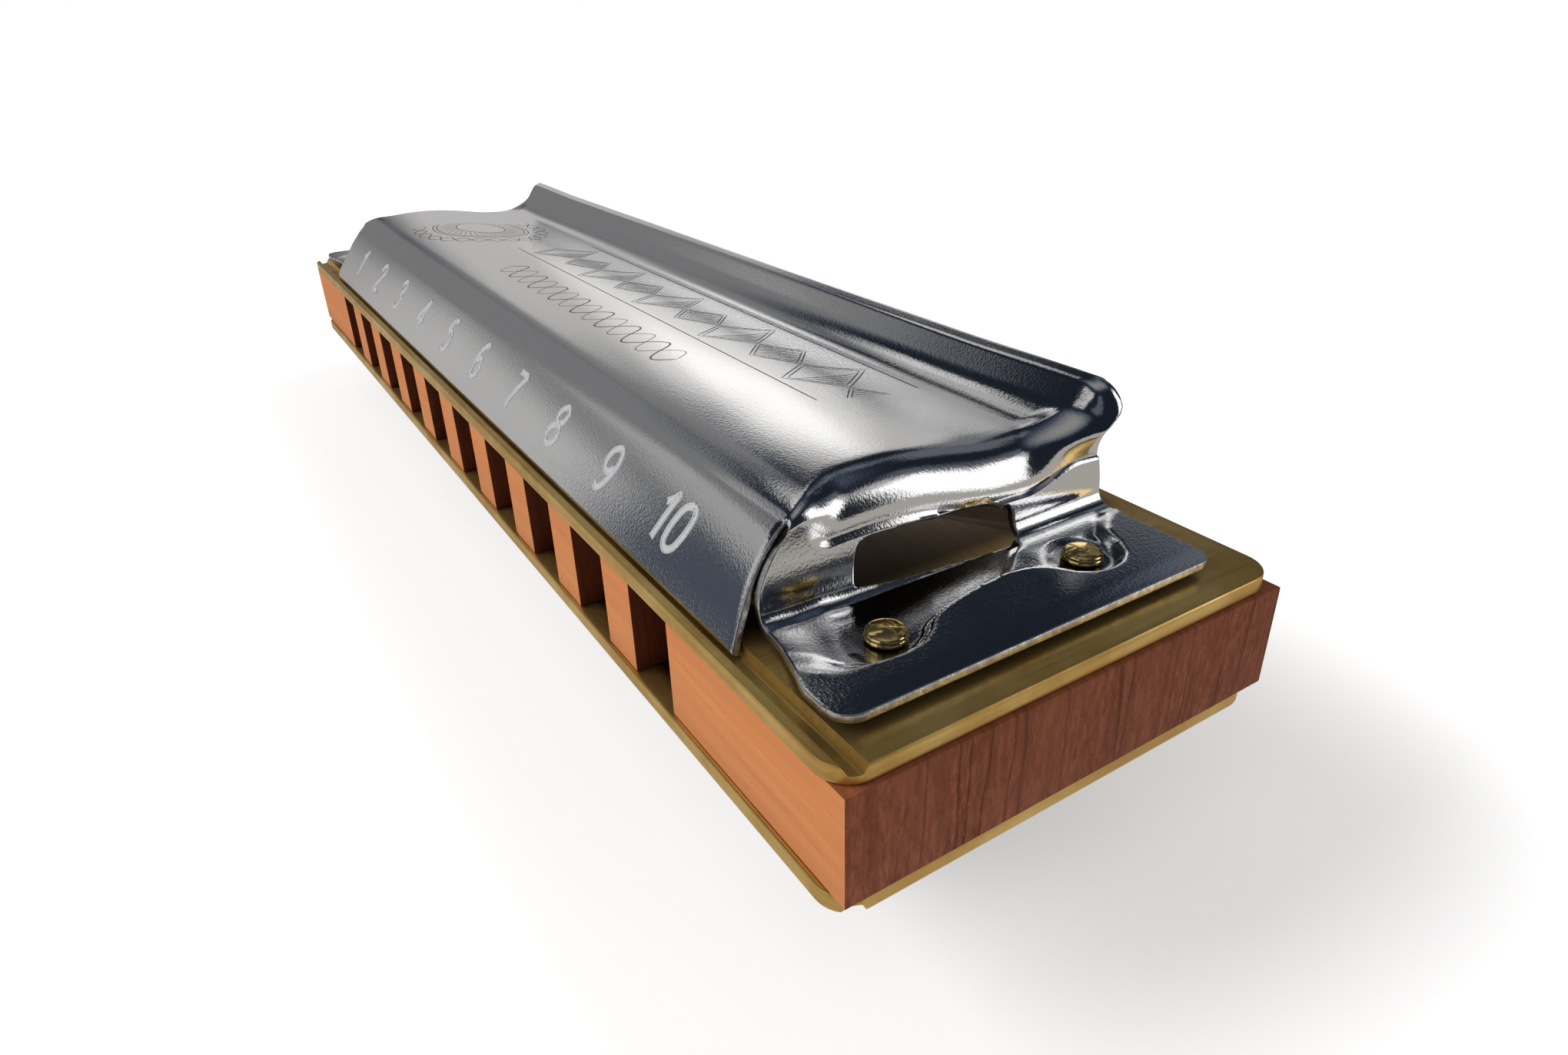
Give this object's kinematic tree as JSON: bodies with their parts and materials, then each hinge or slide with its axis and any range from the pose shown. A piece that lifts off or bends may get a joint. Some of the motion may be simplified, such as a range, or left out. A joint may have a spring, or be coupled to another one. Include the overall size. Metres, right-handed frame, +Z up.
{
  "type": "harmonica",
  "caption": "Diatonic harmonica: wooden comb between two brass reed plates, with vibrating reeds and two stamped steel covers.",
  "frame": {"origin": "centre of the comb, halfway between its ends, its edges and its faces", "axes": "+X along the comb towards the highest hole, -Y towards the player's mouth, +Z up through the top cover"},
  "size_m": [0.102, 0.0257, 0.0212],
  "materials": {
    "comb_wood": "close-grained fruit wood, sealed, low sheen",
    "plate_brass": "rolled brass, satin",
    "reed_brass": "filed spring brass",
    "rivet_brass": "satin brass",
    "cover_steel": "polished stainless steel sheet",
    "nail_brass": "polished brass, scuffed heads"
  },
  "bodies": {
    "frame": {"comb": "comb_wood", "upper_reed_plate": "plate_brass", "lower_reed_plate": "plate_brass", "top_cover": "cover_steel", "bottom_cover": "cover_steel", "blow_rivet_01": "rivet_brass", "blow_rivet_02": "rivet_brass", "blow_rivet_03": "rivet_brass", "blow_rivet_04": "rivet_brass", "blow_rivet_05": "rivet_brass", "blow_rivet_06": "rivet_brass", "blow_rivet_07": "rivet_brass", "blow_rivet_08": "rivet_brass", "blow_rivet_09": "rivet_brass", "blow_rivet_10": "rivet_brass", "draw_rivet_01": "rivet_brass", "draw_rivet_02": "rivet_brass", "draw_rivet_03": "rivet_brass", "draw_rivet_04": "rivet_brass", "draw_rivet_05": "rivet_brass", "draw_rivet_06": "rivet_brass", "draw_rivet_07": "rivet_brass", "draw_rivet_08": "rivet_brass", "draw_rivet_09": "rivet_brass", "draw_rivet_10": "rivet_brass", "top_cover_nail_front_left": "nail_brass", "top_cover_nail_front_right": "nail_brass", "top_cover_nail_rear_left": "nail_brass", "top_cover_nail_rear_right": "nail_brass", "bottom_cover_nail_front_left": "nail_brass", "bottom_cover_nail_front_right": "nail_brass", "bottom_cover_nail_rear_left": "nail_brass", "bottom_cover_nail_rear_right": "nail_brass", "upper_plate_pin_left": "nail_brass", "upper_plate_pin_middle": "nail_brass", "upper_plate_pin_right": "nail_brass", "lower_plate_pin_left": "nail_brass", "lower_plate_pin_middle": "nail_brass", "lower_plate_pin_right": "nail_brass"},
    "blow_reed_01_tongue": {"blow_reed_01": "reed_brass"},
    "blow_reed_02_tongue": {"blow_reed_02": "reed_brass"},
    "blow_reed_03_tongue": {"blow_reed_03": "reed_brass"},
    "blow_reed_04_tongue": {"blow_reed_04": "reed_brass"},
    "blow_reed_05_tongue": {"blow_reed_05": "reed_brass"},
    "blow_reed_06_tongue": {"blow_reed_06": "reed_brass"},
    "blow_reed_07_tongue": {"blow_reed_07": "reed_brass"},
    "blow_reed_08_tongue": {"blow_reed_08": "reed_brass"},
    "blow_reed_09_tongue": {"blow_reed_09": "reed_brass"},
    "blow_reed_10_tongue": {"blow_reed_10": "reed_brass"},
    "draw_reed_01_tongue": {"draw_reed_01": "reed_brass"},
    "draw_reed_02_tongue": {"draw_reed_02": "reed_brass"},
    "draw_reed_03_tongue": {"draw_reed_03": "reed_brass"},
    "draw_reed_04_tongue": {"draw_reed_04": "reed_brass"},
    "draw_reed_05_tongue": {"draw_reed_05": "reed_brass"},
    "draw_reed_06_tongue": {"draw_reed_06": "reed_brass"},
    "draw_reed_07_tongue": {"draw_reed_07": "reed_brass"},
    "draw_reed_08_tongue": {"draw_reed_08": "reed_brass"},
    "draw_reed_09_tongue": {"draw_reed_09": "reed_brass"},
    "draw_reed_10_tongue": {"draw_reed_10": "reed_brass"}
  },
  "joints": [
    {"name": "blow_reed_01_flex", "type": "hinge", "parent": "frame", "child": "blow_reed_01_tongue", "pos_m": [-0.03451, -0.007, 0.0025], "axis": [1, 0, 0], "range_deg": [-3.58, 3.58], "stiffness_Nm_per_rad": 0.0009692},
    {"name": "blow_reed_02_flex", "type": "hinge", "parent": "frame", "child": "blow_reed_02_tongue", "pos_m": [-0.02685, -0.007, 0.0025], "axis": [1, 0, 0], "range_deg": [-3.52, 3.52], "stiffness_Nm_per_rad": 0.0008329},
    {"name": "blow_reed_03_flex", "type": "hinge", "parent": "frame", "child": "blow_reed_03_tongue", "pos_m": [-0.01918, -0.007, 0.0025], "axis": [1, 0, 0], "range_deg": [-3.45, 3.45], "stiffness_Nm_per_rad": 0.0007109},
    {"name": "blow_reed_04_flex", "type": "hinge", "parent": "frame", "child": "blow_reed_04_tongue", "pos_m": [-0.0115, -0.007, 0.0025], "axis": [1, 0, 0], "range_deg": [-3.37, 3.37], "stiffness_Nm_per_rad": 0.0006022},
    {"name": "blow_reed_05_flex", "type": "hinge", "parent": "frame", "child": "blow_reed_05_tongue", "pos_m": [-0.00383, -0.007, 0.0025], "axis": [1, 0, 0], "range_deg": [-3.29, 3.29], "stiffness_Nm_per_rad": 0.000506},
    {"name": "blow_reed_06_flex", "type": "hinge", "parent": "frame", "child": "blow_reed_06_tongue", "pos_m": [0.00383, -0.007, 0.0025], "axis": [1, 0, 0], "range_deg": [-3.19, 3.19], "stiffness_Nm_per_rad": 0.0004213},
    {"name": "blow_reed_07_flex", "type": "hinge", "parent": "frame", "child": "blow_reed_07_tongue", "pos_m": [0.0115, -0.007, 0.0025], "axis": [1, 0, 0], "range_deg": [-3.08, 3.08], "stiffness_Nm_per_rad": 0.0003472},
    {"name": "blow_reed_08_flex", "type": "hinge", "parent": "frame", "child": "blow_reed_08_tongue", "pos_m": [0.01918, -0.007, 0.0025], "axis": [1, 0, 0], "range_deg": [-2.96, 2.96], "stiffness_Nm_per_rad": 0.0002829},
    {"name": "blow_reed_09_flex", "type": "hinge", "parent": "frame", "child": "blow_reed_09_tongue", "pos_m": [0.02685, -0.007, 0.0025], "axis": [1, 0, 0], "range_deg": [-2.82, 2.82], "stiffness_Nm_per_rad": 0.0002275},
    {"name": "blow_reed_10_flex", "type": "hinge", "parent": "frame", "child": "blow_reed_10_tongue", "pos_m": [0.03451, -0.007, 0.0025], "axis": [1, 0, 0], "range_deg": [-2.66, 2.66], "stiffness_Nm_per_rad": 0.0001802},
    {"name": "draw_reed_01_flex", "type": "hinge", "parent": "frame", "child": "draw_reed_01_tongue", "pos_m": [-0.03451, 0.0078, -0.00405], "axis": [-1, 0, 0], "range_deg": [-3.58, 3.58], "stiffness_Nm_per_rad": 0.0009692},
    {"name": "draw_reed_02_flex", "type": "hinge", "parent": "frame", "child": "draw_reed_02_tongue", "pos_m": [-0.02685, 0.00716, -0.00405], "axis": [-1, 0, 0], "range_deg": [-3.52, 3.52], "stiffness_Nm_per_rad": 0.0008329},
    {"name": "draw_reed_03_flex", "type": "hinge", "parent": "frame", "child": "draw_reed_03_tongue", "pos_m": [-0.01918, 0.00651, -0.00405], "axis": [-1, 0, 0], "range_deg": [-3.45, 3.45], "stiffness_Nm_per_rad": 0.0007109},
    {"name": "draw_reed_04_flex", "type": "hinge", "parent": "frame", "child": "draw_reed_04_tongue", "pos_m": [-0.0115, 0.00587, -0.00405], "axis": [-1, 0, 0], "range_deg": [-3.37, 3.37], "stiffness_Nm_per_rad": 0.0006022},
    {"name": "draw_reed_05_flex", "type": "hinge", "parent": "frame", "child": "draw_reed_05_tongue", "pos_m": [-0.00383, 0.00522, -0.00405], "axis": [-1, 0, 0], "range_deg": [-3.29, 3.29], "stiffness_Nm_per_rad": 0.000506},
    {"name": "draw_reed_06_flex", "type": "hinge", "parent": "frame", "child": "draw_reed_06_tongue", "pos_m": [0.00383, 0.00458, -0.00405], "axis": [-1, 0, 0], "range_deg": [-3.19, 3.19], "stiffness_Nm_per_rad": 0.0004213},
    {"name": "draw_reed_07_flex", "type": "hinge", "parent": "frame", "child": "draw_reed_07_tongue", "pos_m": [0.0115, 0.00394, -0.00405], "axis": [-1, 0, 0], "range_deg": [-3.08, 3.08], "stiffness_Nm_per_rad": 0.0003472},
    {"name": "draw_reed_08_flex", "type": "hinge", "parent": "frame", "child": "draw_reed_08_tongue", "pos_m": [0.01918, 0.00329, -0.00405], "axis": [-1, 0, 0], "range_deg": [-2.96, 2.96], "stiffness_Nm_per_rad": 0.0002829},
    {"name": "draw_reed_09_flex", "type": "hinge", "parent": "frame", "child": "draw_reed_09_tongue", "pos_m": [0.02685, 0.00265, -0.00405], "axis": [-1, 0, 0], "range_deg": [-2.82, 2.82], "stiffness_Nm_per_rad": 0.0002275},
    {"name": "draw_reed_10_flex", "type": "hinge", "parent": "frame", "child": "draw_reed_10_tongue", "pos_m": [0.03451, 0.002, -0.00405], "axis": [-1, 0, 0], "range_deg": [-2.66, 2.66], "stiffness_Nm_per_rad": 0.0001802}
  ]
}
